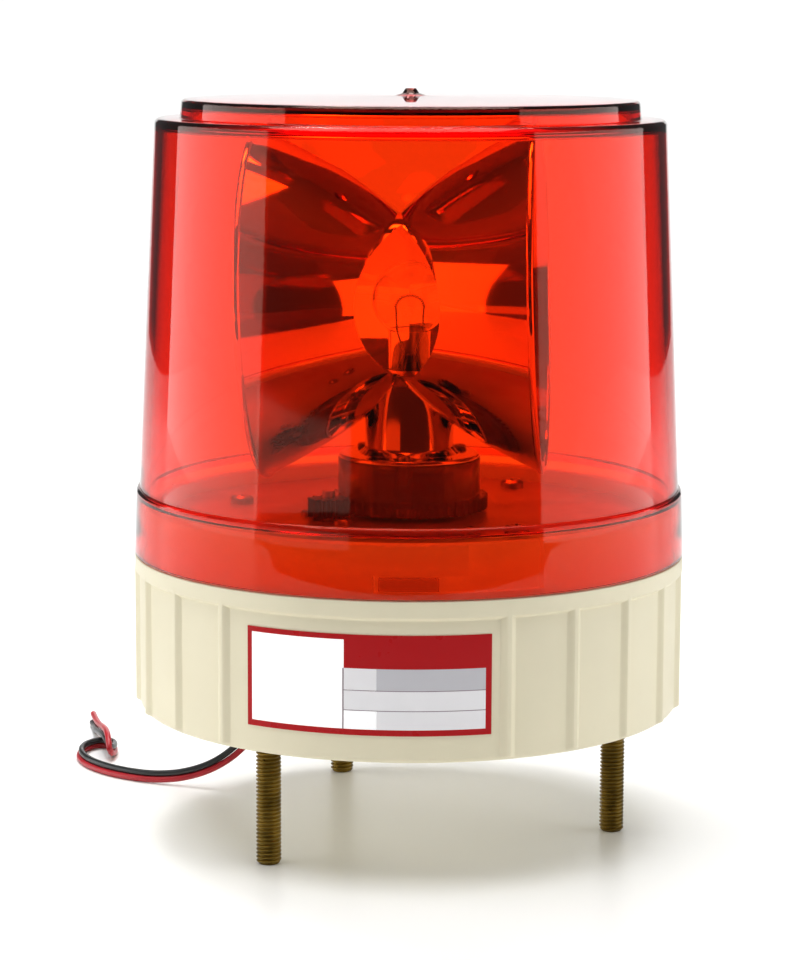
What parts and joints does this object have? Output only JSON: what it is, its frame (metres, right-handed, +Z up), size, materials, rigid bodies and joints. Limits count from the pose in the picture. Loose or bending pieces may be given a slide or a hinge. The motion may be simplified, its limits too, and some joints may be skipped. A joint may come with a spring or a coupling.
{
  "type": "rotating beacon",
  "caption": "Rotating beacon with a clear red bayonet dome, a motor-driven two-way mirror round a bayonet lamp, and a ribbed ivory base on threaded studs with a twin lead",
  "frame": {"origin": "On the floor under the lamp axis, midway in the box of the beacon without its lead; the three stud tips stand on z=0", "axes": "+Z up along the lamp axis and the spin axis, -Y towards the label side, +X to the right of the label"},
  "size_m": [0.2101, 0.2243, 0.2425],
  "materials": {
    "ivory_housing": "moulded, fine satin grain",
    "passivated_steel": "yellow passivated thread",
    "seal_rubber": "smooth",
    "label_film": "printed film, blank fields with red border",
    "chassis_steel": "satin grey",
    "screw_steel": "zinc plated",
    "post_plastic": "moulded",
    "washer_steel": "polished",
    "motor_steel": "drawn can",
    "socket_brass": "nickelled",
    "insulator": "pressed laminate",
    "terminal_plastic": "moulded",
    "grommet_rubber": "moulded",
    "red_insulation": "smooth insulation",
    "black_insulation": "smooth insulation",
    "smoke_plastic": "smoke tinted, clear",
    "bush_bronze": "sintered",
    "mirror_chrome": "vacuum metallised",
    "pinion_plastic": "moulded",
    "shaft_steel": "ground",
    "lamp_glass": "clear",
    "cap_brass": "nickelled",
    "tungsten": "wire",
    "solder": "solder",
    "red_dome": "clear red, polished"
  },
  "bodies": {
    "housing": {"base_housing": "ivory_housing", "mounting_studs": "passivated_steel", "dome_seal": "seal_rubber", "rating_label": "label_film", "chassis_plate": "chassis_steel", "chassis_screws": "screw_steel", "centre_post": "post_plastic", "post_nut": "screw_steel", "thrust_washer": "washer_steel", "retaining_ring": "washer_steel", "motor_body": "motor_steel", "motor_screws": "screw_steel", "lamp_socket": "socket_brass", "socket_insulator": "insulator", "socket_contact": "socket_brass", "terminal_block": "terminal_plastic", "terminal_screw": "screw_steel", "cable_grommet": "grommet_rubber", "lead_red": "red_insulation", "lead_black": "black_insulation", "inner_leads": "red_insulation"},
    "rotor": {"gear_hub": "smoke_plastic", "hub_bush": "bush_bronze", "reflector_left": "mirror_chrome", "reflector_right": "mirror_chrome", "reflector_neck": "mirror_chrome", "reflector_screws": "screw_steel"},
    "pinion": {"motor_pinion": "pinion_plastic", "motor_shaft": "shaft_steel"},
    "lamp": {"bulb_glass": "lamp_glass", "bulb_cap": "cap_brass", "bulb_filament": "tungsten", "bulb_contact": "solder"},
    "dome_cover": {"dome": "red_dome"}
  },
  "joints": [
    {"name": "reflector_spin", "type": "hinge", "parent": "housing", "child": "rotor", "pos_m": [0, 0, 0.112], "axis": [0, 0, 1], "continuous": true},
    {"name": "pinion_spin", "type": "hinge", "parent": "housing", "child": "pinion", "pos_m": [-0.026, -0.01688, 0.108], "axis": [0, 0, 1], "continuous": true},
    {"name": "dome_twist", "type": "hinge", "parent": "housing", "child": "dome_cover", "pos_m": [0, 0, 0.0965], "axis": [0, 0, 1], "range_deg": [0, 20]},
    {"name": "lamp_twist", "type": "hinge", "parent": "housing", "child": "lamp", "pos_m": [0, 0, 0.1423], "axis": [0, 0, 1], "range_deg": [0, 25]}
  ],
  "couplings": [
    {"joint": "pinion_spin", "follows": "reflector_spin", "ratio": -4.1667}
  ]
}
